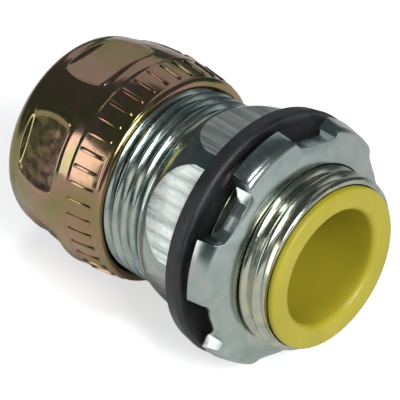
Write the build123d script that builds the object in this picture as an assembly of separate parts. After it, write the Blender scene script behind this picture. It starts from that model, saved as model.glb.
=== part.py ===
from build123d import *
from math import cos, radians, sin, tan
import os

# Half-inch raintight compression connector for thin-wall steel conduit.
# Millimetres. The conduit axis is X: conduit enters at -X, the box end points to +X, +Z is up.
# The origin is on the axis, at the conduit stop, level with the hex shoulder that the gasket seats on.
# Angles round the axis start at +Z and grow towards -Y.

# Fits
socket_clearance = 0.185      # conduit in its socket, radial
thread_clearance = 0.12       # between mating threads, radial and along the axis
running_gap = 0.3             # between loose rings and the bores round them
face_gap = 0.1                # between parts that sit face to face on different bodies

# Conduit and body bore
conduit_d = 17.93
body_wall = 1.6               # under the compression thread
seat_angle = 30.0             # ring seat, from the axis
seat_depth = 2.0
stop_wall = 0.7               # least steel from the socket out to the root of the box thread
throat_wall = 1.55            # under the box thread

# Compression thread, 18 per inch
nut_pitch = 25.4 / 18
thread_depth = 0.65
thread_angle = 60.0
nut_crest_flat = 0.28
nut_thread_len = 13.0
comp_runout = 0.4             # plain length before the flare

# Wrench hex and the turned flare behind it
flat_stand = 0.5              # flats above the compression thread
corner_stand = 1.3            # rounded corners above the flats
flare_len = 4.9
flare_bulge = 0.3
hex_land = 2.1

# Box thread, 14 per inch
box_thread_d = 21.1
box_pitch = 25.4 / 14
box_crest_flat = 0.42
box_thread_len = 10.8
box_runout = 1.6              # plain length in front of the hex

# Compression nut
nut_standoff = 5.4            # end of the thread to the nut's mouth at rest
nut_travel = 2.4              # from rest to tight
nut_lip_wall = 0.95
mouth_chamfer = 0.35
counterbore_len = 0.5
relief_extra = 0.05           # reliefs at both ends of the nut's thread, beyond its root
barrel_rise = 0.72            # widest section above the mouth
barrel_taper = 1.05           # start of the end shoulder below the widest section
barrel_peak = 6.6             # mouth to widest section
shoulder_r = 2.4
nut_end_wall = 1.3
opening_gap = 0.285           # conduit in the nut's opening, radial
wrench_flats = 6
wrench_start = 6.8            # mouth to the wrench flats
wrench_len = 6.4
wrench_cut = 0.6              # flats below the widest section, at their front end
wrench_draft = 6.0
wrench_phase = 5.0
band_start = 0.9
band_len = 3.7
rib_count = 40
rib_width = 0.45
rib_height = 0.15

# Split compression ring and sealing ring
ring_bore_gap = 0.12          # conduit in both rings, radial
ring_wall = 1.35
ring_nose = 0.35              # wall left at each tapered end
ring_land = 0.55              # straight part between the tapers
ring_slot = 2.4
seat_spare = 0.06             # ring to seat when tight, radial
seal_len = 2.3
seal_wall = 1.5
seal_taper = 0.7
seal_taper_len = 1.6

# Gasket
gasket_t = 2.45
gasket_stand = 1.65           # beyond the corners of the hex
gasket_bead = 0.8             # width of the raised rim on the front
gasket_bead_h = 0.3
gasket_round = 0.5

# Locknut
lock_gap = 1.25               # gasket to lugs, where the enclosure wall goes
lock_t = 1.3                  # stock
lock_depth = 3.4              # lug tips to front face
lock_hub = 1.2                # bore to the start of the dished face
lock_hub_len = 2.6
lock_dish = 0.9
lock_notch = 2.9              # bore to the edge between lugs
lock_reach = 4.7              # bore to the lug tips
lug_lean = 0.35
lug_fold = 0.6
lug_count = 6
lug_span = 26.0
lug_phase = 17.0

# Insulated throat
throat_bore_wall = 1.45       # sleeve wall in the throat
lip_inset = 0.85              # lip inside the crest of the box thread
lip_t = 0.85
lip_round = 0.4
sleeve_len = 9.0
mouth_round = 0.7

# Cutting tools
overrun = 1.0                 # how far a tool passes the work along the axis
tool_rise = 0.3               # how far a thread tool passes the crest
tool_leads = (1.0, 1.15, 0.85, 1.35, 0.65)    # turns that a thread tool starts ahead of the work
seam_turns = (0, 90, 45)      # places of a round blank's seam, in degrees

# Worked out from the sizes above
thread_slope = tan(radians(thread_angle / 2))
seat_slope = tan(radians(seat_angle))
conduit_r = conduit_d / 2
socket_r = conduit_r + socket_clearance
comp_root_r = socket_r + body_wall
comp_crest_r = comp_root_r + thread_depth
hex_apothem = comp_crest_r + flat_stand
corner_r = hex_apothem + corner_stand
flare_x = -(hex_land + flare_len)
body_back = flare_x - nut_thread_len
seat_r = socket_r + seat_depth * seat_slope
box_crest_r = box_thread_d / 2
box_root_r = box_crest_r - thread_depth
box_end = box_thread_len
throat_r = box_root_r - throat_wall
stop_x = -max(0.0, socket_r + stop_wall - box_root_r)     # back from the hex shoulder in a wide socket

nut_mouth = flare_x - nut_standoff
mouth_r = comp_crest_r + thread_clearance + nut_lip_wall
peak_r = mouth_r + barrel_rise
ring_bore_r = conduit_r + ring_bore_gap
ring_outer_r = ring_bore_r + ring_wall
taper_len = (ring_wall - ring_nose) / seat_slope
ring_tight_x = body_back + (seat_r - seat_spare - ring_bore_r - ring_nose) / seat_slope
ring_front = ring_tight_x - nut_travel
ring_back = ring_front - 2 * taper_len - ring_land
seal_front = ring_back
seal_back = seal_front - seal_len
nut_floor = seal_back - face_gap
nut_back = nut_floor - nut_end_wall
pocket_r = ring_outer_r + running_gap
nut_bore_end = body_back - nut_travel - face_gap


def turned(points, passing=None):
    """Solid of revolution about X. Points are (x, radius); passing gives a point for a curved side."""
    passing = passing or {}
    sides = []
    for i, start in enumerate(points):
        end = points[(i + 1) % len(points)]
        sides.append(ThreePointArc(start, passing[i], end) if i in passing else Line(start, end))
    return revolve(make_face(sides), axis=Axis.X)


def tube(r, x_from, x_to):
    """Solid cylinder on the axis."""
    return turned([(x_from, 0), (x_to, 0), (x_to, r), (x_from, r)])


def rounded(x, r, side, size):
    """Ends and middle of a quarter round at an outer edge; side is -1 for a back edge, 1 for a front."""
    middle = size * (1 - cos(radians(45)))
    ends = [(x - side * size, r), (x, r - size)]
    return ends, (x - side * middle, r - middle)


def helix_tool(pitch, through_x, x_from, x_to, narrow_r, narrow_half, wide_r, wide_half):
    """Helical cutter about X that crosses -Z at through_x, narrow at one radius and wide at another."""
    path = Helix(pitch=pitch, height=x_to - x_from, radius=wide_r)
    start = Plane(origin=(wide_r, 0, 0), x_dir=(1, 0, 0), z_dir=(0, 1, 0))
    outline = Polyline(
        (narrow_r - wide_r, -narrow_half), (narrow_r - wide_r, narrow_half),
        (0, wide_half), (0, -wide_half), close=True)
    cutter = sweep(start * make_face(outline), path=path, is_frenet=True)
    lead = 360 * (x_from - through_x) / pitch
    return Pos(x_from, 0, 0) * (Rot(lead, 0, 0) * (Rot(0, 90, 0) * cutter))


def cut_thread(blank, tool_from_lead):
    """The round blank with its groove. A tool edge on a seam cuts nothing, so then one of them moves."""
    for seam_turn in seam_turns:
        for lead in tool_leads:
            cut = Rot(seam_turn, 0, 0) * blank - tool_from_lead(lead)
            if cut.volume < blank.volume - tool_rise:
                return cut
    raise ValueError("the thread tool cut nothing")


def threaded_rod(pitch, crest_flat, crest_r, length, runout):
    """Rod with an external thread. Its free end is at X = 0, where the groove crosses -Z."""
    crest_half = (pitch - crest_flat) / 2

    def tool(lead):
        return helix_tool(
            pitch, 0, -lead * pitch, length - runout,
            crest_r - thread_depth, crest_half - thread_depth * thread_slope,
            crest_r + tool_rise, crest_half + tool_rise * thread_slope)
    return cut_thread(tube(crest_r, 0, length), tool)


def threaded_sleeve(pitch, crest_flat, crest_r, outer_r, groove_x, x_from, x_to):
    """Sleeve whose thread fits that rod with clearance, where the rod's groove crosses -Z at groove_x."""
    root_r = crest_r + thread_clearance
    inner_r = crest_r - thread_depth
    minor_r = inner_r + thread_clearance
    crest_half = crest_flat / 2 + thread_clearance

    def tool(lead):
        return helix_tool(
            pitch, groove_x + pitch / 2, x_from - lead * pitch, x_to + lead * pitch,
            root_r, crest_half - thread_clearance * thread_slope,
            inner_r, crest_half + thread_depth * thread_slope)
    return cut_thread(tube(outer_r, x_from, x_to) - tube(minor_r, x_from - overrun, x_to + overrun), tool)


def save(shape, name):
    """One part file, named after its node."""
    shape.label = name
    export_step(shape, f"parts/{name}.step")


def connector_body():
    """Steel body: compression thread, wrench hex with its flare, box thread, stepped bore."""
    flare_mid = ((flare_x - hex_land) / 2, (comp_crest_r + corner_r) / 2 + flare_bulge)
    middle = turned(
        [(flare_x, 0), (0, 0), (0, corner_r), (-hex_land, corner_r), (flare_x, comp_crest_r)],
        {3: flare_mid})
    hexagon = Plane.YZ * RegularPolygon(hex_apothem, 6, major_radius=False, rotation=0)
    prism = Pos(flare_x - overrun, 0, 0) * extrude(hexagon, -flare_x + 2 * overrun)
    back = threaded_rod(nut_pitch, nut_crest_flat, comp_crest_r, nut_thread_len, comp_runout)
    front = threaded_rod(box_pitch, box_crest_flat, box_crest_r, box_thread_len, box_runout)
    bore = turned(
        [(body_back - overrun, 0), (box_end + overrun, 0), (box_end + overrun, throat_r),
         (stop_x, throat_r), (stop_x, socket_r), (body_back + seat_depth, socket_r),
         (body_back, seat_r), (body_back - overrun, seat_r)])
    back = Pos(body_back, 0, 0) * back
    front = Pos(box_end, 0, 0) * (Rot(0, 0, 180) * front)
    return back + (middle & prism) + front - bore


def throat_insulator():
    """Moulded liner: a sleeve pressed into the throat, and a rounded lip over the front rim."""
    bore_r = throat_r - throat_bore_wall
    lip_r = box_crest_r - lip_inset
    lip_front = box_end + lip_t
    ends, middle = rounded(lip_front, lip_r, 1, lip_round)
    mouth_mid = mouth_round * (1 - cos(radians(45)))
    return turned(
        [(box_end - sleeve_len, bore_r), (box_end - sleeve_len, throat_r), (box_end, throat_r),
         (box_end, lip_r), ends[0], ends[1], (lip_front, bore_r + mouth_round),
         (lip_front - mouth_round, bore_r)],
        {4: middle, 6: (lip_front - mouth_mid, bore_r + mouth_mid)})


def wrench_cutters():
    """Drafted blocks that press the wrench flats into the barrel."""
    front_x = nut_mouth - wrench_start
    block = Pos(-wrench_len, 0, 0) * Box(
        wrench_len, 2 * peak_r, peak_r, align=(Align.MIN, Align.CENTER, Align.MIN))
    pressed = Pos(front_x, 0, peak_r - wrench_cut) * (Rot(0, -wrench_draft, 0) * block)
    return [Rot(wrench_phase + i * 360 / wrench_flats, 0, 0) * pressed for i in range(wrench_flats)]


def grip_ribs():
    """Raised ribs round the band near the mouth."""
    length = band_len
    root = comp_crest_r + thread_clearance + nut_lip_wall / 2
    top = mouth_r + rib_height + barrel_rise * (band_start + band_len / 2) / barrel_peak
    rib = Pos(nut_mouth - band_start - length, 0, root) * Box(
        length, rib_width, top - root, align=(Align.MIN, Align.CENTER, Align.MIN))
    return [Rot(i * 360 / rib_count, 0, 0) * rib for i in range(rib_count)]


def compression_nut():
    """Drawn steel nut: bulged barrel, pressed wrench flats, ribbed band, internal thread."""
    peak_x = nut_mouth - barrel_peak
    shoulder_x = nut_back + shoulder_r
    shoulder_top = peak_r - barrel_taper
    end_r = shoulder_top - shoulder_r
    lean = shoulder_r * cos(radians(45))
    mouth_x = nut_mouth - mouth_chamfer
    front_mid = ((mouth_x + peak_x) / 2, (mouth_r + peak_r) / 2 + barrel_rise / 4)
    back_mid = ((peak_x + shoulder_x) / 2, (shoulder_top + peak_r) / 2 + barrel_taper / 4)
    blank = turned(
        [(nut_back, 0), (nut_mouth, 0), (nut_mouth, mouth_r - mouth_chamfer), (mouth_x, mouth_r),
         (peak_x, peak_r), (shoulder_x, shoulder_top), (nut_back, end_r)],
        {3: front_mid, 4: back_mid, 5: (shoulder_x - lean, end_r + lean)})
    relief_r = comp_crest_r + thread_clearance + relief_extra
    thread_back = body_back + nut_pitch
    thread_front = nut_mouth - counterbore_len
    taper_x = seal_back + seal_taper_len
    bore = turned(
        [(nut_back - overrun, 0), (nut_mouth + overrun, 0), (nut_mouth + overrun, relief_r),
         (nut_bore_end, relief_r),
         (nut_bore_end, pocket_r), (taper_x, pocket_r), (nut_floor, pocket_r - seal_taper),
         (nut_floor, conduit_r + opening_gap), (nut_back - overrun, conduit_r + opening_gap)])
    thread = threaded_sleeve(
        nut_pitch, nut_crest_flat, comp_crest_r, relief_r, body_back, thread_back, thread_front)
    body = blank
    for cutter in wrench_cutters():
        body = body - cutter
    for rib in grip_ribs():
        body = body + rib
    return (body - bore) + thread


def split_compression_ring():
    """Steel ring tapered at both ends, with one slot so that it can close on the conduit."""
    nose_r = ring_bore_r + ring_nose
    ring = turned(
        [(ring_back, ring_bore_r), (ring_front, ring_bore_r), (ring_front, nose_r),
         (ring_front - taper_len, ring_outer_r), (ring_back + taper_len, ring_outer_r),
         (ring_back, nose_r)])
    slot = Pos((ring_front + ring_back) / 2, 0, -ring_outer_r) * Box(
        ring_front - ring_back + 2 * overrun, ring_slot, 2 * ring_wall + overrun)
    return ring - slot


def sealing_ring():
    """Soft ring on the floor of the nut, tapered at the back."""
    outer_r = ring_bore_r + seal_wall
    return turned(
        [(seal_back, ring_bore_r), (seal_front, ring_bore_r), (seal_front, outer_r),
         (seal_back + seal_taper_len, outer_r), (seal_back, outer_r - seal_taper)])


def knockout_gasket():
    """Thick washer with a rounded rim and a low bead round its front face."""
    outer_r = corner_r + gasket_stand
    inner_r = box_crest_r + thread_clearance
    face_x = gasket_t - gasket_bead_h
    back, back_mid = rounded(0, outer_r, -1, gasket_round)
    front, front_mid = rounded(gasket_t, outer_r, 1, gasket_round)
    bead_r = outer_r - gasket_round - gasket_bead
    return turned(
        [(0, inner_r), (0, back[1][1]), back[0], front[0], front[1], (gasket_t, bead_r),
         (face_x, bead_r - gasket_bead_h), (face_x, inner_r)],
        {1: back_mid, 3: front_mid})


def sector(r_in, r_out, angle_from, angle_to):
    """Face across the axis, between two radii and two angles from +Z towards -Y."""
    def spot(r, angle):
        return (-r * sin(radians(angle)), r * cos(radians(angle)))
    middle = (angle_from + angle_to) / 2
    return Plane.YZ * make_face([
        ThreePointArc(spot(r_in, angle_from), spot(r_in, middle), spot(r_in, angle_to)),
        Line(spot(r_in, angle_to), spot(r_out, angle_to)),
        ThreePointArc(spot(r_out, angle_to), spot(r_out, middle), spot(r_out, angle_from)),
        Line(spot(r_out, angle_from), spot(r_in, angle_from))])


def locknut():
    """Dished stamping with six lugs folded back towards the gasket."""
    bore_r = box_root_r + thread_clearance
    lug_x = gasket_t + lock_gap
    face_x = lug_x + lock_depth
    hub_x = face_x - lock_hub_len
    hub_r = bore_r + lock_hub
    reach_r = bore_r + lock_reach
    fold_r = reach_r - lug_lean - lug_fold
    fold_x = face_x - lock_dish
    inner_r = fold_r - lock_t + lug_fold
    dish = turned(
        [(hub_x, hub_r), (face_x, hub_r), (fold_x, fold_r), (fold_x - lug_fold, fold_r + lug_fold),
         (lug_x, reach_r), (lug_x, reach_r - lock_t), (fold_x - lock_t, inner_r)],
        {2: (fold_x - lug_fold / 4, fold_r + lug_fold * 3 / 4)})
    gap = 360 / lug_count - lug_span
    notch = sector(bore_r + lock_notch, reach_r + overrun, lug_span / 2, lug_span / 2 + gap)
    notch = Pos(lug_x - overrun, 0, 0) * extrude(notch, lock_depth + 2 * overrun)
    for i in range(lug_count):
        dish = dish - Rot(lug_phase + i * 360 / lug_count, 0, 0) * notch
    hub = threaded_sleeve(
        box_pitch, box_crest_flat, box_crest_r, hub_r, box_end, hub_x, face_x)
    return dish + hub


os.makedirs("parts", exist_ok=True)
save(connector_body(), "connector_body")
save(throat_insulator(), "throat_insulator")
save(compression_nut(), "compression_nut")
save(split_compression_ring(), "split_compression_ring")
save(sealing_ring(), "sealing_ring")
save(knockout_gasket(), "knockout_gasket")
save(locknut(), "locknut")
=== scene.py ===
import bpy
import math
import numpy as np
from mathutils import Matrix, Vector, noise


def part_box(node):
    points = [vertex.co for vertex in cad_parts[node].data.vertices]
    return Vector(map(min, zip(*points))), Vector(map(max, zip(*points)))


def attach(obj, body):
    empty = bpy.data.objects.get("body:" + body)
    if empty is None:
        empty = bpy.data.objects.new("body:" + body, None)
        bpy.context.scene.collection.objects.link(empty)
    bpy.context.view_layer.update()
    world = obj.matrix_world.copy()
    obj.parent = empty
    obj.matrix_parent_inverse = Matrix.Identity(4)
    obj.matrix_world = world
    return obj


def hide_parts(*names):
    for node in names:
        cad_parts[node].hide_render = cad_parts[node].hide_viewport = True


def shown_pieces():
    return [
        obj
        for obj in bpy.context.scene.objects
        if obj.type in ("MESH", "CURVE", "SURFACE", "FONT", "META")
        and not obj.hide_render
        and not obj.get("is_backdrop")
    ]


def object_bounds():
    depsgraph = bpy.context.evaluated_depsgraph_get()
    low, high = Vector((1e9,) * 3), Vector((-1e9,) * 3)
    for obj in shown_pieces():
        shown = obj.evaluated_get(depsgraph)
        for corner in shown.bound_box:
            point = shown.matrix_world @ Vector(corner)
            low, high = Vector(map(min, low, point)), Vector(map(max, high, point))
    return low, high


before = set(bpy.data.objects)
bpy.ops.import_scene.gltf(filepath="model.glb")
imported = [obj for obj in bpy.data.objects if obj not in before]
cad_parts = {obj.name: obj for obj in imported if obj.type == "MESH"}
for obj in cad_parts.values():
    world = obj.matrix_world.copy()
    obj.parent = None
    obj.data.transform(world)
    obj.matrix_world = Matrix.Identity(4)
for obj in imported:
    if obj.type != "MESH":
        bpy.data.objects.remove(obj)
cadLow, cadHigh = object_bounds()
mm = 0.001
turn = 2 * math.pi
flankSlope = math.tan(math.radians(30))      # both flanks of every thread


# small tools used by every piece

def deselectAll():
    if bpy.context.object and bpy.context.object.mode != "OBJECT":
        bpy.ops.object.mode_set(mode="OBJECT")
    bpy.ops.object.select_all(action="DESELECT")


def activate(piece):
    deselectAll()
    piece.select_set(True)
    bpy.context.view_layer.objects.active = piece


def applyModifier(piece, kind, **settings):
    activate(piece)
    modifier = piece.modifiers.new(kind.title(), kind)
    for key, value in settings.items():
        setattr(modifier, key, value)
    bpy.ops.object.modifier_apply(modifier=modifier.name)


def settleOrder(piece, digits):
    # a bevel or a spin leaves its vertices in a different order each run, so they are sorted by place
    mesh = piece.data
    places = [tuple(round(c / mm, digits) for c in v.co) for v in mesh.vertices]
    order = sorted(range(len(places)), key=lambda i: places[i])
    rank = {old: new for new, old in enumerate(order)}
    faces = []
    for face in mesh.polygons:
        ring = [rank[i] for i in face.vertices]
        start = ring.index(min(ring))
        faces.append(ring[start:] + ring[:start])
    mesh.clear_geometry()
    mesh.from_pydata([[c * mm for c in places[i]] for i in order], [], sorted(faces))


def roundEdges(piece, width, segments=2, angle=28):
    applyModifier(piece, "BEVEL", width=width * mm, segments=segments, limit_method="ANGLE",
                  angle_limit=math.radians(angle), harden_normals=False)
    settleOrder(piece, 5)              # a bevel's places also vary, by a few millionths


def smooth(piece, angle=35):
    activate(piece)
    bpy.ops.object.shade_smooth_by_angle(angle=math.radians(angle))


def facesOut(piece):
    activate(piece)
    bpy.ops.object.mode_set(mode="EDIT")
    bpy.ops.mesh.select_all(action="SELECT")
    bpy.ops.mesh.remove_doubles(threshold=0.002 * mm)
    bpy.ops.mesh.normals_make_consistent(inside=False)
    bpy.ops.object.mode_set(mode="OBJECT")


def drawPath(name, points):
    # a plane collapsed to one vertex, then extruded from point to point; left in edit mode
    deselectAll()
    bpy.ops.mesh.primitive_plane_add(size=mm)
    piece = bpy.context.object
    piece.name = name
    bpy.ops.object.mode_set(mode="EDIT")
    bpy.ops.mesh.merge(type="CENTER")
    here = Vector((0, 0, 0))
    for i, (x, y, z) in enumerate(points):
        there = Vector((x * mm, y * mm, z * mm))
        if i:
            bpy.ops.mesh.extrude_region_move(TRANSFORM_OT_translate={"value": there - here})
        else:
            bpy.ops.transform.translate(value=there)
        here = there
    return piece


def drawOutline(name, points):
    # closed outline in the XZ plane, from places (x, radius) in millimetres
    piece = drawPath(name, [(x, 0, radius) for x, radius in points])
    bpy.ops.mesh.select_all(action="DESELECT")
    bpy.ops.object.mode_set(mode="OBJECT")
    ends = [v for v in piece.data.vertices if sum(v.index in e.vertices for e in piece.data.edges) < 2]
    for v in ends:
        v.select = True
    bpy.ops.object.mode_set(mode="EDIT")
    bpy.ops.mesh.edge_face_add()
    bpy.ops.object.mode_set(mode="OBJECT")
    return piece


def spinRound(name, points, steps):
    # closed outline spun once round the conduit axis
    piece = drawOutline(name, points)
    activate(piece)
    bpy.ops.object.mode_set(mode="EDIT")
    bpy.ops.mesh.select_all(action="SELECT")
    bpy.ops.mesh.spin(steps=steps, angle=turn, center=(0, 0, 0), axis=(1, 0, 0))
    bpy.ops.object.mode_set(mode="OBJECT")
    facesOut(piece)
    settleOrder(piece, 7)              # finer than the mesh itself holds: the places stay exact
    return piece


def arc(centreX, centreR, radius, fromDeg, toDeg, count):
    # points on a round corner of an outline
    out = []
    for i in range(count + 1):
        a = math.radians(fromDeg + (toDeg - fromDeg) * i / count)
        out.append((centreX + radius * math.cos(a), centreR + radius * math.sin(a)))
    return out


def winding(name, profile, pitch, startX, turns, steps):
    # small closed profile wound into a right-hand thread; it crosses -Z at startX
    points = [(startX + x, -r) for x, r in profile]
    piece = drawOutline(name, points)
    count = int(steps * abs(turns))
    applyModifier(piece, "SCREW", axis="X", angle=turn * turns, screw_offset=pitch * turns * mm,
                  steps=count, render_steps=count)
    activate(piece)
    bpy.ops.object.mode_set(mode="EDIT")
    bpy.ops.mesh.select_all(action="DESELECT")
    bpy.ops.mesh.select_non_manifold()
    bpy.ops.mesh.fill_holes(sides=0)
    bpy.ops.object.mode_set(mode="OBJECT")
    facesOut(piece)
    return piece


def trim(piece, fromX, toX):
    # keep only what lies between two places along the axis
    deselectAll()
    bpy.ops.mesh.primitive_cylinder_add(vertices=64, radius=20 * mm, depth=(toX - fromX) * mm,
                                        location=((fromX + toX) / 2 * mm, 0, 0), rotation=(0, math.pi / 2, 0))
    block = bpy.context.object
    bpy.ops.object.transform_apply(location=True, rotation=True, scale=True)
    applyModifier(piece, "BOOLEAN", operation="INTERSECT", object=block, solver="EXACT")
    bpy.data.objects.remove(block)
    facesOut(piece)


def polar(v):
    # radius and angle from +Z towards -Y of a vertex
    return math.hypot(v.co.y, v.co.z), math.atan2(-v.co.y, v.co.z)


def setPolar(v, radius, angle):
    v.co.y = -radius * math.sin(angle)
    v.co.z = radius * math.cos(angle)


print("tools ready")


# finishes

def startFinish(name, color, metal=0.0, rough=0.5):
    finish = bpy.data.materials.new(name)
    finish.use_nodes = True
    shader = finish.node_tree.nodes["Principled BSDF"]
    shader.inputs["Base Color"].default_value = (*color, 1)
    shader.inputs["Metallic"].default_value = metal
    shader.inputs["Roughness"].default_value = rough
    finish.diffuse_color = (*color, 1)
    return finish, finish.node_tree.nodes, finish.node_tree.links, shader


def objectCoords(nodes):
    return nodes.new("ShaderNodeTexCoord").outputs["Object"]


def splitAxes(nodes, links, spot):
    parts = nodes.new("ShaderNodeSeparateXYZ")
    links.new(spot, parts.inputs[0])
    return parts.outputs


def mathNode(nodes, links, what, a, b=0.0):
    node = nodes.new("ShaderNodeMath")
    node.operation = what
    for socket, value in zip(node.inputs, (a, b)):
        if isinstance(value, (int, float)):
            socket.default_value = value
        else:
            links.new(value, socket)
    return node.outputs[0]


def noiseNode(nodes, links, vector, scale, detail=3.0, rough=0.5, distortion=0.0):
    node = nodes.new("ShaderNodeTexNoise")
    node.inputs["Scale"].default_value = scale
    node.inputs["Detail"].default_value = detail
    node.inputs["Roughness"].default_value = rough
    node.inputs["Distortion"].default_value = distortion
    links.new(vector, node.inputs["Vector"])
    return node.outputs["Fac"]


def rampNode(nodes, links, value, stops):
    node = nodes.new("ShaderNodeValToRGB")
    ramp = node.color_ramp
    while len(ramp.elements) < len(stops):
        ramp.elements.new(0.5)
    for element, (place, color) in zip(ramp.elements, stops):
        element.position = place
        element.color = (*color, 1)
    links.new(value, node.inputs[0])
    return node.outputs[0]


def grey(value):
    return (value, value, value)


def turnedCoords(nodes, links):
    # same value all round a circle about the axis: lines left by a lathe tool
    spot = objectCoords(nodes)
    parts = splitAxes(nodes, links, spot)
    yy = mathNode(nodes, links, "MULTIPLY", parts["Y"], parts["Y"])
    zz = mathNode(nodes, links, "MULTIPLY", parts["Z"], parts["Z"])
    radius = mathNode(nodes, links, "SQRT", mathNode(nodes, links, "ADD", yy, zz))
    join = nodes.new("ShaderNodeCombineXYZ")
    links.new(parts["X"], join.inputs["X"])
    links.new(radius, join.inputs["Y"])
    return spot, join.outputs[0]


def drawnCoords(nodes, links, spread=0.04):
    # same value along the axis, nearly: lines left by a broach
    spot = objectCoords(nodes)
    parts = splitAxes(nodes, links, spot)
    join = nodes.new("ShaderNodeCombineXYZ")
    links.new(mathNode(nodes, links, "MULTIPLY", parts["X"], spread), join.inputs["X"])
    links.new(parts["Y"], join.inputs["Y"])
    links.new(parts["Z"], join.inputs["Z"])
    return spot, join.outputs[0]


def addBump(nodes, links, shader, height, strength, distance=0.00005):
    bump = nodes.new("ShaderNodeBump")
    bump.inputs["Strength"].default_value = strength
    bump.inputs["Distance"].default_value = distance
    links.new(height, bump.inputs["Height"])
    links.new(bump.outputs[0], shader.inputs["Normal"])


def plate(name, tints, rough, lineScale, lineStrength, mode="turned"):
    # bright plating: patchy tint, uneven gloss, tool lines under the plate
    finish, nodes, links, shader = startFinish(name, tints[1], metal=1.0, rough=rough[0])
    coords = {"turned": turnedCoords, "drawn": drawnCoords}[mode]
    spot, lined = coords(nodes, links)
    cloud = noiseNode(nodes, links, spot, 260, 4, 0.6, 0.6)
    lines = noiseNode(nodes, links, lined, lineScale, 4, 0.65)
    tint = cloud
    if mode == "drawn":
        tint = mathNode(nodes, links, "ADD", mathNode(nodes, links, "MULTIPLY", lines, 0.8),
                        mathNode(nodes, links, "MULTIPLY", cloud, 0.2))
    links.new(rampNode(nodes, links, tint, [(0.36, tints[0]), (0.5, tints[1]), (0.64, tints[2])]),
              shader.inputs["Base Color"])
    spots = noiseNode(nodes, links, spot, 1800, 3, 0.6)
    blend = mathNode(nodes, links, "ADD", mathNode(nodes, links, "MULTIPLY", lines, 0.7),
                     mathNode(nodes, links, "MULTIPLY", spots, 0.3))
    links.new(rampNode(nodes, links, blend, [(0.35, grey(rough[0])), (0.65, grey(rough[1]))]),
              shader.inputs["Roughness"])
    addBump(nodes, links, shader, blend, lineStrength)
    return finish


zincBright = plate("bright_zinc_turned", [(0.30, 0.38, 0.36), (0.43, 0.49, 0.46), (0.53, 0.56, 0.51)],
                   (0.1, 0.26), 2600, 0.25)
zincStamped = plate("bright_zinc_stamped", [(0.39, 0.46, 0.44), (0.46, 0.52, 0.49), (0.53, 0.55, 0.52)],
                    (0.13, 0.28), 900, 0.16)
zincThread = plate("zinc_box_thread", [(0.38, 0.41, 0.33), (0.52, 0.54, 0.45), (0.62, 0.6, 0.44)],
                   (0.1, 0.28), 2400, 0.25)
zincBroached = plate("bright_zinc_broached", [(0.15, 0.18, 0.17), (0.33, 0.36, 0.34), (0.5, 0.52, 0.49)],
                     (0.12, 0.32), 1700, 0.35, "drawn")


def makeDichromate():
    # yellow chromate film over zinc: its colour drifts through straw, olive, rose and green
    finish, nodes, links, shader = startFinish("yellow_dichromate", (0.42, 0.31, 0.17), 1.0, 0.2)
    spot = objectCoords(nodes)
    film = noiseNode(nodes, links, spot, 95, 2.5, 0.5, 0.9)
    links.new(rampNode(nodes, links, film, [
        (0.28, (0.19, 0.21, 0.09)), (0.4, (0.34, 0.28, 0.12)), (0.5, (0.42, 0.27, 0.16)),
        (0.6, (0.47, 0.28, 0.21)), (0.72, (0.29, 0.29, 0.12))]), shader.inputs["Base Color"])
    fine = noiseNode(nodes, links, spot, 900, 4, 0.65)
    links.new(rampNode(nodes, links, fine, [(0.3, grey(0.09)), (0.72, grey(0.24))]),
              shader.inputs["Roughness"])
    dents = noiseNode(nodes, links, spot, 420, 3, 0.5)
    both = mathNode(nodes, links, "ADD", dents, mathNode(nodes, links, "MULTIPLY", fine, 0.25))
    addBump(nodes, links, shader, both, 0.28, 0.00008)
    return finish


def makeRubber():
    finish, nodes, links, shader = startFinish("black_gasket_rubber", (0.018, 0.018, 0.02), 0, 0.42)
    spot = objectCoords(nodes)
    bloom = noiseNode(nodes, links, spot, 320, 4, 0.6, 0.4)
    links.new(rampNode(nodes, links, bloom, [(0.35, (0.011, 0.011, 0.012)), (0.7, (0.03, 0.03, 0.033))]),
              shader.inputs["Base Color"])
    links.new(rampNode(nodes, links, bloom, [(0.3, grey(0.34)), (0.7, grey(0.55))]),
              shader.inputs["Roughness"])
    grain = mathNode(nodes, links, "ADD", noiseNode(nodes, links, spot, 3800, 3, 0.6),
                     mathNode(nodes, links, "MULTIPLY", noiseNode(nodes, links, spot, 700, 3, 0.6), 1.5))
    addBump(nodes, links, shader, grain, 0.4, 0.0001)
    return finish


def makeLinerPlastic():
    finish, nodes, links, shader = startFinish("yellow_liner_plastic", (0.5, 0.39, 0.025), 0, 0.4)
    spot = objectCoords(nodes)
    flow = noiseNode(nodes, links, spot, 110, 3, 0.5, 0.8)
    links.new(rampNode(nodes, links, flow, [
        (0.3, (0.43, 0.37, 0.022)), (0.5, (0.47, 0.4, 0.025)), (0.7, (0.51, 0.43, 0.035))]),
        shader.inputs["Base Color"])
    shader.inputs["Subsurface Weight"].default_value = 0.12
    shader.inputs["Subsurface Radius"].default_value = (1.0, 0.8, 0.2)
    shader.inputs["Subsurface Scale"].default_value = 0.0006
    links.new(rampNode(nodes, links, noiseNode(nodes, links, spot, 1500, 3, 0.6),
                       [(0.3, grey(0.3)), (0.7, grey(0.48))]), shader.inputs["Roughness"])
    addBump(nodes, links, shader, noiseNode(nodes, links, spot, 700, 4, 0.6), 0.2, 0.00008)
    return finish


dichromate = makeDichromate()
gasketRubber = makeRubber()
linerPlastic = makeLinerPlastic()
print("finishes ready")


# places read from the frame, in millimetres

def spanOf(node):
    low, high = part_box(node)
    return low[0] / mm, high[0] / mm, high[1] / mm


bodyBack, bodyFront, bodyCorner = spanOf("connector_body")
nutBack, nutMouth, nutWide = spanOf("compression_nut")
linerBack, linerFront, linerWide = spanOf("throat_insulator")
gasketBack, gasketFront, gasketWide = spanOf("knockout_gasket")
lockBack, lockFace, lockWide = spanOf("locknut")


# steel connector body

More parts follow.
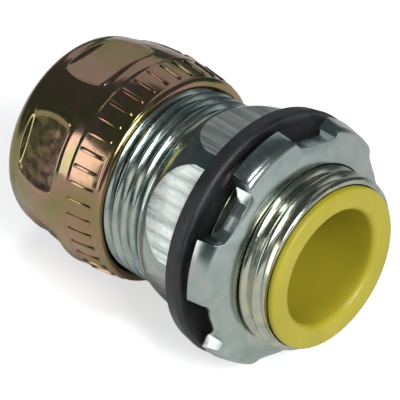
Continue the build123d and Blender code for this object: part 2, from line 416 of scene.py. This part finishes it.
body = {"core": 10.75, "crest": 11.4, "boxCore": 9.9, "boxCrest": 10.55, "socket": 9.15,
        "seatDepth": 2.0, "seat": 10.3, "throat": 8.35, "stop": 0.0, "neck": -7.0, "land": 2.1,
        "flat": 11.9, "bulge": 0.3, "hexRound": 0.12, "steps": 144, "hexSteps": 240, "flareSteps": 24,
        "pitch": 25.4 / 18, "turns": 9.45, "crestFlat": 0.26, "threadPast": 0.6,
        "sinkFrom": 0.9, "sinkLength": 0.7, "sinkDepth": 0.5,
        "boxPitch": 25.4 / 14, "boxTurns": 5.6, "boxCrestFlat": 0.5, "boxThreadFrom": 0.5, "boxLead": 0.28,
        "threadSteps": 120}


def ridgeProfile(pitch, root, crest, flat, sink=0.25):
    # one thread ridge with a rounded crest, its foot sunk into the core
    foot = flat / 2 + (crest - root) * flankSlope
    low = foot + sink * flankSlope
    low = min(low, pitch / 2 - 0.02)
    soft = flat / 2 + 0.06
    return [(-low, root - sink), (-foot, root + 0.02), (-soft, crest - 0.12), (-flat * 0.35, crest - 0.02),
            (0, crest), (flat * 0.35, crest - 0.02), (soft, crest - 0.12), (foot, root + 0.02),
            (low, root - sink)]


def makeBody():
    tube = spinRound("connectorTube", [
        (bodyBack, body["core"] - 0.1), (bodyBack + 0.3, body["core"]), (0.0, body["core"]),
        (0.2, body["boxCore"]), (bodyFront - 0.1, body["boxCore"]), (bodyFront, body["boxCore"] - 0.1),
        (bodyFront, body["throat"]), (body["stop"], body["throat"]), (body["stop"], body["socket"]),
        (bodyBack + body["seatDepth"], body["socket"]), (bodyBack, body["seat"])], body["steps"])
    tube.data.materials.append(zincThread)
    smooth(tube)

    pitch = body["pitch"]
    ridge = winding("compressionThread", ridgeProfile(pitch, body["core"], body["crest"], body["crestFlat"]),
                    pitch, bodyBack - pitch / 2, body["turns"], body["threadSteps"])
    trim(ridge, bodyBack, body["neck"] + body["threadPast"])
    for v in ridge.data.vertices:      # run-out: the thread sinks into the neck within half a turn
        r, a = polar(v)
        fade = (v.co.x / mm - (body["neck"] - body["sinkFrom"])) / body["sinkLength"]
        if fade > 0:
            setPolar(v, r - min(fade, 1.0) * body["sinkDepth"] * mm, a)
    for v in ridge.data.vertices:      # lead-in chamfer at the open end
        r, a = polar(v)
        top = (body["core"] + (v.co.x / mm - bodyBack)) * mm
        if r > top:
            setPolar(v, top, a)
    ridge.data.materials.append(zincBright)
    smooth(ridge, 50)

    pitch = body["boxPitch"]
    boxProfile = ridgeProfile(pitch, body["boxCore"], body["boxCrest"], body["boxCrestFlat"])
    boxRidge = winding("boxThread", boxProfile, pitch, bodyFront + pitch / 2, -body["boxTurns"],
                       body["threadSteps"])
    trim(boxRidge, body["boxThreadFrom"], bodyFront)
    for v in boxRidge.data.vertices:   # lead-in chamfer at the box end
        r, a = polar(v)
        top = (body["boxCore"] + body["boxLead"] + (bodyFront - v.co.x / mm)) * mm
        if r > top:
            setPolar(v, top, a)
    boxRidge.data.materials.append(zincThread)
    smooth(boxRidge, 50)
    return tube, ridge, boxRidge


def makeHex():
    # turned flare, then six flats milled by a hexagonal tool
    neck, land = body["neck"], -body["land"]
    low, high = body["crest"], bodyCorner
    chord = math.hypot(land - neck, high - low)
    sag = body["bulge"]
    flare = []
    for i in range(body["flareSteps"] + 1):
        t = i / body["flareSteps"]
        rise = 4 * sag * t * (1 - t)
        flare.append((neck + (land - neck) * t - rise * (high - low) / chord,
                      low + (high - low) * t + rise * (land - neck) / chord))
    outline = [(neck - 0.35, body["core"] - 0.2), (neck - 0.35, low - 0.12), (neck - 0.2, low + 0.02)]
    outline += flare + [(-0.25, high), (0.0, high - 0.25), (0.0, body["boxCore"] - 0.2)]
    blank = spinRound("wrenchHex", outline, body["hexSteps"])
    deselectAll()
    bpy.ops.mesh.primitive_cylinder_add(vertices=6, radius=body["flat"] / math.cos(math.pi / 6) * mm,
                                        depth=30 * mm, rotation=(0, math.pi / 2, 0))
    tool = bpy.context.object
    activate(tool)
    bpy.ops.object.transform_apply(location=True, rotation=True, scale=True)
    top = max(tool.data.vertices, key=lambda v: v.co.z)      # a flat has to face up
    if abs(top.co.y) < 0.1 * mm:
        tool.rotation_euler = (math.pi / 6, 0, 0)
        bpy.ops.object.transform_apply(location=True, rotation=True, scale=True)
    applyModifier(blank, "BOOLEAN", operation="INTERSECT", object=tool, solver="EXACT")
    bpy.data.objects.remove(tool)
    roundEdges(blank, body["hexRound"], 2, 12)
    blank.data.materials.append(zincBright)
    blank.data.materials.append(zincBroached)
    for face in blank.data.polygons:
        if abs(face.normal.x) < 0.05 and face.area > 1.5 * mm * mm:
            face.material_index = 1
    smooth(blank, 30)
    return blank


tube, compressionThread, boxThread = makeBody()
wrenchHex = makeHex()
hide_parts("connector_body")
for piece in (tube, compressionThread, boxThread, wrenchHex):
    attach(piece, "connector")
print("body ready")


# gland nut

nut = {"mouth": 12.47, "peakAt": 6.6, "drop": 1.05, "shoulder": 2.4, "opening": 9.25, "endWall": 1.3,
       "pocket": 10.74, "floor": 10.04, "taper": 1.6, "relief": 11.57, "boreEnd": -22.5, "chamfer": 0.35,
       "flats": 6, "flatStart": 6.8, "flatLength": 6.6, "flatCut": 0.62, "draft": 6.0, "phase": 5.0,
       "frontFade": 0.28, "backFade": 0.5, "rimHeight": 0.17, "rimWidth": 0.12,
       "frontRimAt": 0.22, "frontRimWidth": 0.24, "insideBlend": 0.03, "soft": 0.05,
       "dent": 0.035, "dentScale": 0.35, "quiet": 0.45, "steps": 400, "barrelSteps": 92,
       "threadCrest": 10.87, "threadTurns": 4.0, "threadSteps": 96,
       "bandStart": 0.9, "bandLength": 3.8, "bandDrop": 0.1, "bandStep": 0.25,
       "ribs": 40, "ribLength": 3.3, "ribWidth": 0.5, "ribHeight": 0.2, "ribRoot": 0.1, "ribRound": 0.12}


def barrelRadius(x):
    # bulged barrel: one parabola from the mouth to the widest place, another back to the shoulder
    peakX = nutMouth - nut["peakAt"]
    shoulderX = nutBack + nut["shoulder"]
    if x > peakX:
        return nutWide - (nutWide - nut["mouth"]) * ((x - peakX) / (nutMouth - peakX)) ** 2
    return nutWide - nut["drop"] * ((peakX - x) / (peakX - shoulderX)) ** 2


def makeNut():
    mouthX = nutMouth - nut["chamfer"]
    shoulderX = nutBack + nut["shoulder"]
    outer = [(nutMouth, nut["mouth"] - nut["chamfer"] * 1.1), (mouthX + 0.1, nut["mouth"] - 0.08)]
    bandFront = nutMouth - nut["bandStart"]
    bandBack = bandFront - nut["bandLength"]
    for i in range(nut["barrelSteps"] + 1):
        x = mouthX - 0.1 + (shoulderX - mouthX + 0.1) * i / nut["barrelSteps"]
        inBand = bandBack < x < bandFront + nut["bandStep"]
        outer.append((x, barrelRadius(x) - nut["bandDrop"] * inBand))
    endR = nutWide - nut["drop"] - nut["shoulder"]
    outer += arc(shoulderX, endR, nut["shoulder"], 96, 180, 16)
    floorX = nutBack + nut["endWall"]
    inner = [(nutBack, nut["opening"] + 0.12), (nutBack + 0.12, nut["opening"]), (floorX, nut["opening"]),
             (floorX, nut["floor"]), (floorX + nut["taper"], nut["pocket"]), (nut["boreEnd"], nut["pocket"]),
             (nut["boreEnd"], nut["relief"]), (nutMouth - 0.2, nut["relief"]),
             (nutMouth, nut["relief"] + 0.15)]
    piece = spinRound("glandNut", outer + inner, nut["steps"])

    front = nutMouth - nut["flatStart"]
    slope = math.tan(math.radians(nut["draft"]))
    pitch = turn / nut["flats"]
    for v in piece.data.vertices:
        r, a = polar(v)
        x = v.co.x / mm
        r = r / mm
        if r < nut["relief"] + 0.3 and x > nutBack + 1.0:
            continue                     # inside of the nut
        away = (a - math.radians(nut["phase"]) + pitch / 2) % pitch - pitch / 2
        flat = (nutWide - nut["flatCut"] - (front - x) * slope) / math.cos(away)
        depth = r - flat                 # how far the die has to push the metal here
        ahead = (front - x) / nut["frontFade"]
        behind = (x - (front - nut["flatLength"])) / nut["backFade"]
        grip = max(0.0, min(1.0, ahead)) * max(0.0, min(1.0, behind))
        grip = grip * grip * (3 - 2 * grip)
        soft = nut["soft"]
        pushed = (depth + math.sqrt(depth * depth + 4 * soft * soft)) / 2 - soft * 0.3
        inside = 1 / (1 + math.exp(-depth / nut["insideBlend"]))
        sideHump = math.exp(-((depth + nut["soft"]) / nut["rimWidth"]) ** 2)
        wall = nut["rimHeight"] * sideHump * max(0.0, min(1.0, behind))
        frontHump = math.exp(-((x - front - nut["frontRimAt"]) / nut["frontRimWidth"]) ** 2)
        edge = nut["rimHeight"] * frontHump * inside
        size = nut["dentScale"]
        spot = Vector((x * size, v.co.y / mm * size, v.co.z / mm * size))
        rough = noise.noise(spot) + 0.5 * noise.noise(spot * 2.7)
        near = 1.0 if nutBack + 2 < x < front + 1 else nut["quiet"]
        r = r - max(0.0, pushed) * grip + wall * grip + edge + nut["dent"] * rough * near
        setPolar(v, r * mm, a)
    piece.data.materials.append(dichromate)
    smooth(piece, 50)

    foot, crest = nut["relief"], nut["threadCrest"]
    thread = winding("glandNutThread", [
        (-0.62, foot + 0.15), (-0.5, foot - 0.04), (-0.16, crest + 0.03), (0, crest),
        (0.16, crest + 0.03), (0.5, foot - 0.04), (0.62, foot + 0.15)],
        body["pitch"], bodyBack + body["pitch"], nut["threadTurns"], nut["threadSteps"])
    thread.data.materials.append(dichromate)
    smooth(thread, 40)
    return piece, thread


def makeRibs():
    # one raised grip rib, rounded, then copied round the band
    middle = nutMouth - nut["bandStart"] - nut["bandLength"] / 2
    base = barrelRadius(middle) - nut["bandDrop"]
    deselectAll()
    bpy.ops.mesh.primitive_cube_add(size=mm, location=(middle * mm, 0, (base - nut["ribRoot"]) * mm))
    rib = bpy.context.object
    rib.name = "glandNutRibs"
    rib.scale = (nut["ribLength"], nut["ribWidth"], 2 * (nut["ribHeight"] + nut["ribRoot"]))
    bpy.ops.object.transform_apply(location=True, rotation=True, scale=True)
    roundEdges(rib, nut["ribRound"], 2)
    for v in rib.data.vertices:        # the rib follows the slope of the barrel
        v.co.z += (barrelRadius(v.co.x / mm) - barrelRadius(middle)) * mm
    ribs = [rib]
    for i in range(1, nut["ribs"]):
        copy = rib.copy()
        copy.data = rib.data.copy()
        bpy.context.collection.objects.link(copy)
        copy.rotation_euler = (turn * i / nut["ribs"], 0, 0)
        ribs.append(copy)
    deselectAll()
    for piece in ribs:
        piece.select_set(True)
    bpy.context.view_layer.objects.active = rib
    bpy.ops.object.transform_apply(location=True, rotation=True, scale=True)
    bpy.ops.object.join()
    rib.data.materials.append(dichromate)
    smooth(rib, 40)
    return rib


glandNut, glandNutThread = makeNut()
glandNutRibs = makeRibs()
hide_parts("compression_nut")
for piece in (glandNut, glandNutThread, glandNutRibs):
    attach(piece, "gland_nut")
print("gland nut ready")


# gasket

gasket = {"bore": 10.67, "round": 0.5, "bead": 0.85, "beadHeight": 0.3, "dip": 12.2,
          "waveFrom": 12.5, "wave": 0.05, "warp": 0.04, "steps": 160}


def makeGasket():
    wide, edge = gasketWide, gasket["round"]
    bead = wide - edge - gasket["bead"]
    face = gasketFront - gasket["beadHeight"]
    outline = [(gasketBack, gasket["bore"])]
    outline += arc(gasketBack + edge, wide - edge - 0.25, edge, 180, 90, 6)
    outline += arc(gasketFront - edge * 1.1, wide - edge, edge, 90, 0, 6)
    outline += [(gasketFront, bead + 0.15), (gasketFront - 0.08, bead), (face, bead - 0.35),
                (face - 0.05, gasket["dip"]), (face, gasket["bore"] + 0.1), (face - 0.1, gasket["bore"])]
    piece = spinRound("knockoutGasket", outline, gasket["steps"])
    for v in piece.data.vertices:      # moulded rubber is never quite even
        r, a = polar(v)
        if r > gasket["waveFrom"] * mm:
            lump = noise.noise(Vector((math.cos(a) * 1.6, math.sin(a) * 1.6, v.co.x / mm * 0.4)))
            setPolar(v, r + gasket["wave"] * (lump - 0.6) * mm, a)
            v.co.x += gasket["warp"] * (lump - 0.5) * mm * (1 if v.co.x > 1 * mm else 0)
    piece.data.materials.append(gasketRubber)
    smooth(piece, 45)
    return piece


knockoutGasket = makeGasket()
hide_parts("knockout_gasket")
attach(knockoutGasket, "gasket")
print("gasket ready")


# locknut

lock = {"crest": 10.02, "crestFlat": 0.42, "hub": 11.22, "hubLength": 2.6, "stock": 1.3,
        "dish": 0.9, "lean": 0.35, "fold": 0.75, "edgeRound": 0.16, "steps": 180,
        "lugs": 6, "span": 26.0, "phase": 17.0, "notch": 12.9, "notchLength": 3.0,
        "tapDepth": 0.65, "tapRise": 0.3, "tapFrom": 4.5, "tapTurns": 3.6, "tapSteps": 96}


def notchTool():
    # rounded pocket between two lugs, as a punch would leave it
    gap = turn / lock["lugs"] - math.radians(lock["span"])
    far = lock["notch"] + lock["notchLength"]
    halfNear = lock["notch"] * math.sin(gap / 2) - 0.1
    halfFar = far * math.sin(gap / 2) + 0.35
    outline = [(-halfNear, lock["notch"] + 0.75), (-halfNear * 0.8, lock["notch"] + 0.1),
               (-halfNear * 0.45, lock["notch"]), (0, lock["notch"] + 0.06),
               (halfNear * 0.45, lock["notch"]), (halfNear * 0.8, lock["notch"] + 0.1),
               (halfNear, lock["notch"] + 0.75), (halfFar, far), (-halfFar, far)]
    tool = drawPath("notchTool", [(0, side, out) for side, out in outline])
    bpy.ops.mesh.select_all(action="SELECT")
    bpy.ops.mesh.edge_face_add()
    bpy.ops.mesh.select_all(action="SELECT")
    bpy.ops.transform.translate(value=((lockBack - 1) * mm, 0, 0))
    bpy.ops.mesh.extrude_region_move(TRANSFORM_OT_translate={"value": (8 * mm, 0, 0)})
    bpy.ops.object.mode_set(mode="OBJECT")
    facesOut(tool)
    return tool


def makeLocknut():
    reach = lockWide
    foldR = reach - lock["lean"] - lock["fold"]
    foldX = lockFace - lock["dish"]
    hubX = lockFace - lock["hubLength"]
    outline = [(hubX, lock["crest"]), (lockFace - 0.3, lock["crest"]), (lockFace - 0.05, lock["crest"] + 0.3),
               (lockFace, lock["crest"] + 0.6), (lockFace - 0.12, lock["hub"] + 0.6),
               (foldX + 0.12, foldR - 0.35)]
    outline += [(foldX, foldR), (foldX - 0.12, foldR + 0.3), (foldX - 0.4, foldR + 0.6),
                (foldX - lock["fold"] - 0.1, foldR + lock["fold"]), (lockBack, reach),
                (lockBack, reach - lock["stock"]), (foldX - lock["stock"] - 0.1, foldR - 0.55),
                (hubX + 0.35, lock["hub"] + 0.45), (hubX, lock["hub"])]
    piece = spinRound("locknutPlate", outline, lock["steps"])
    tool = notchTool()
    for i in range(lock["lugs"]):
        angle = math.radians(lock["phase"]) + turn * (i + 0.5) / lock["lugs"]
        tool.rotation_euler = (angle, 0, 0)
        bpy.context.view_layer.update()
        applyModifier(piece, "BOOLEAN", operation="DIFFERENCE", object=tool, solver="EXACT")
    bpy.data.objects.remove(tool)
    facesOut(piece)
    roundEdges(piece, lock["edgeRound"], 3, 32)
    # tapped last: a helical groove cut right through the bore, in step with the body's thread
    pitch = body["boxPitch"]
    wide = pitch / 2 - lock["crestFlat"] / 2
    inner = wide + lock["tapRise"] * flankSlope
    outer = wide - lock["tapDepth"] * flankSlope
    low = lock["crest"] - lock["tapRise"]
    deep = lock["crest"] + lock["tapDepth"]
    tap = winding("tap", [(-inner, low), (-outer, deep), (0, deep + 0.02), (outer, deep), (inner, low)],
                  pitch, bodyFront - pitch * lock["tapFrom"], lock["tapTurns"], lock["tapSteps"])
    applyModifier(piece, "BOOLEAN", operation="DIFFERENCE", object=tap, solver="EXACT")
    bpy.data.objects.remove(tap)
    facesOut(piece)
    piece.data.materials.append(zincStamped)
    smooth(piece, 31.8)                # between two groups of edges, so that none flips
    return piece


locknutPlate = makeLocknut()
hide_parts("locknut")
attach(locknutPlate, "lock")
print("locknut ready")


# insulated throat

liner = {"bore": 6.9, "throat": 8.35, "mouthRound": 0.85, "lipRound": 0.42, "warp": 0.035,
         "steps": 160}


def makeLiner():
    outline = [(linerBack, liner["bore"] + 0.25), (linerBack, liner["throat"] - 0.15),
               (linerBack + 0.3, liner["throat"]), (bodyFront, liner["throat"]),
               (bodyFront, linerWide - 0.05)]
    lip, mouth = liner["lipRound"], liner["mouthRound"]
    outline += arc(linerFront - lip, linerWide - lip, lip, 90, 12, 6)
    outline += arc(linerFront - mouth, liner["bore"] + mouth, mouth, -12, -84, 9)
    outline += [(linerFront - mouth - 0.6, liner["bore"])]
    piece = spinRound("throatLiner", outline, liner["steps"])
    for v in piece.data.vertices:      # moulded lip, slightly uneven
        r, a = polar(v)
        if v.co.x > bodyFront * mm:
            v.co.x += liner["warp"] * (noise.noise(Vector((math.cos(a) * 2, math.sin(a) * 2, 3))) - 0.5) * mm
    piece.data.materials.append(linerPlastic)
    smooth(piece, 45)
    return piece


throatLiner = makeLiner()
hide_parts("throat_insulator")
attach(throatLiner, "connector")
print("liner ready")


# the two rings inside the nut keep their shape and only get a finish

def dressNode(node, finish):
    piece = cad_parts[node]
    for place in piece.material_slots:
        place.material = finish


def makeSealPolymer():
    finish, nodes, links, shader = startFinish("seal_polymer", (0.045, 0.045, 0.045), 0, 0.5)
    spot = objectCoords(nodes)
    cloud = noiseNode(nodes, links, spot, 500, 4, 0.6)
    links.new(rampNode(nodes, links, cloud, [(0.3, (0.03, 0.03, 0.03)), (0.7, (0.07, 0.07, 0.068))]),
              shader.inputs["Base Color"])
    addBump(nodes, links, shader, noiseNode(nodes, links, spot, 2500, 3, 0.6), 0.2)
    return finish


dressNode("split_compression_ring", zincStamped)
dressNode("sealing_ring", makeSealPolymer())
print("rings ready")


# floor, light and camera

stage = {"azimuth": 44.3, "elevation": 35.0, "lens": 260, "sensor": 36, "fill": 0.955,
         "fitPasses": 5, "firstDistance": 0.3, "floorSize": 6,
         "room": 0.09, "roomColor": (0.75, 0.93, 1.0), "tableGlow": 0.6}

# each lamp: direction from the object, distance, width, height, power, color
lamps = {"keySoftbox": ((-0.50, -0.80, 0.25), 0.5, 0.20, 0.30, 0.42, (1, 1, 1)),
         "backPanel": ((-0.57, 0.59, 0.57), 0.6, 0.50, 0.40, 0.25, (0.97, 0.99, 1.0)),
         "sidePanel": ((0.78, 0.58, 0.12), 0.7, 0.60, 0.30, 0.30, (0.96, 1.0, 0.99)),
         "highSoftbox": ((0.15, -0.2, 1.0), 0.8, 0.12, 0.12, 1.0, (1, 1, 1)),
         "frontFill": ((0.85, -0.25, 0.6), 0.7, 0.32, 0.32, 4.0, (1, 1, 1))}


def makeFloor():
    deselectAll()
    bpy.ops.mesh.primitive_plane_add(size=stage["floorSize"], location=(0, 0, cadLow[2]))
    floor = bpy.context.object
    floor.name = "floor"
    finish, nodes, links, shader = startFinish("pale_floor", (0.9, 0.9, 0.9), 0, 0.8)
    shader.inputs["Specular IOR Level"].default_value = 0.1
    shader.inputs["Emission Color"].default_value = (1, 1, 1, 1)
    path = nodes.new("ShaderNodeLightPath")       # the table looks white, but glows on nothing
    glow = mathNode(nodes, links, "MULTIPLY", path.outputs["Is Camera Ray"], stage["tableGlow"])
    links.new(glow, shader.inputs["Emission Strength"])
    floor.data.materials.append(finish)
    floor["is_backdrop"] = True


def addLight(name, direction, distance, width, height, power, color):
    place = Vector(direction).normalized() * distance
    light = bpy.data.lights.new(name, "AREA")
    light.shape = "RECTANGLE"
    light.size = width
    light.size_y = height
    light.energy = power
    light.color = color
    lamp = bpy.data.objects.new(name, light)
    bpy.context.collection.objects.link(lamp)
    lamp.location = place
    lamp.rotation_mode = "QUATERNION"
    lamp.rotation_quaternion = place.to_track_quat("Z", "Y")


def makeWorld():
    # white behind the object, but dim in its reflections, like a dark room round a light table
    world = bpy.data.worlds.new("studio")
    bpy.context.scene.world = world
    world.use_nodes = True
    nodes, links = world.node_tree.nodes, world.node_tree.links
    seen = nodes["Background"]
    seen.inputs[0].default_value = (1, 1, 1, 1)
    seen.inputs[1].default_value = 1.0
    room = nodes.new("ShaderNodeBackground")
    room.inputs[0].default_value = stage["roomColor"] + (1,)
    room.inputs[1].default_value = stage["room"]
    path = nodes.new("ShaderNodeLightPath")
    mix = nodes.new("ShaderNodeMixShader")
    links.new(path.outputs["Is Camera Ray"], mix.inputs[0])
    links.new(room.outputs[0], mix.inputs[1])
    links.new(seen.outputs[0], mix.inputs[2])
    links.new(mix.outputs[0], nodes["World Output"].inputs["Surface"])


def makeLights():
    for name, settings in lamps.items():
        addLight(name, *settings)


def makeCamera():
    data = bpy.data.cameras.new("camera")
    camera = bpy.data.objects.new("camera", data)
    bpy.context.collection.objects.link(camera)
    bpy.context.scene.camera = camera
    data.lens = stage["lens"]
    data.sensor_width = stage["sensor"]
    a, e = math.radians(stage["azimuth"]), math.radians(stage["elevation"])
    back = Vector((math.sin(a) * math.cos(e), -math.cos(a) * math.cos(e), math.sin(e)))
    right = Vector((math.cos(a), math.sin(a), 0))
    up = back.cross(right)
    spots = []
    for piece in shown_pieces():
        values = np.empty(len(piece.data.vertices) * 3)
        piece.data.vertices.foreach_get("co", values)
        spots.append(values.reshape(-1, 3))
    spots = np.vstack(spots)
    centre, distance = Vector(spots.mean(axis=0)), stage["firstDistance"]
    for fitPass in range(stage["fitPasses"]):      # move back until the object just fills the picture
        away = spots - np.array(centre)
        depth = distance - away @ np.array(back)
        across = away @ np.array(right) / depth
        above = away @ np.array(up) / depth
        centre += right * (across.max() + across.min()) / 2 * distance
        centre += up * (above.max() + above.min()) / 2 * distance
        spread = max(across.max() - across.min(), above.max() - above.min())
        distance *= spread * data.lens / data.sensor_width / stage["fill"]
    camera.location = centre + back * distance
    camera.rotation_mode = "QUATERNION"
    camera.rotation_quaternion = (-back).to_track_quat("-Z", "Y")
    data.clip_start, data.clip_end = 0.01, 20


makeFloor()
makeWorld()
makeLights()
makeCamera()
bpy.context.scene.view_settings.view_transform = "Standard"
print("stage ready")
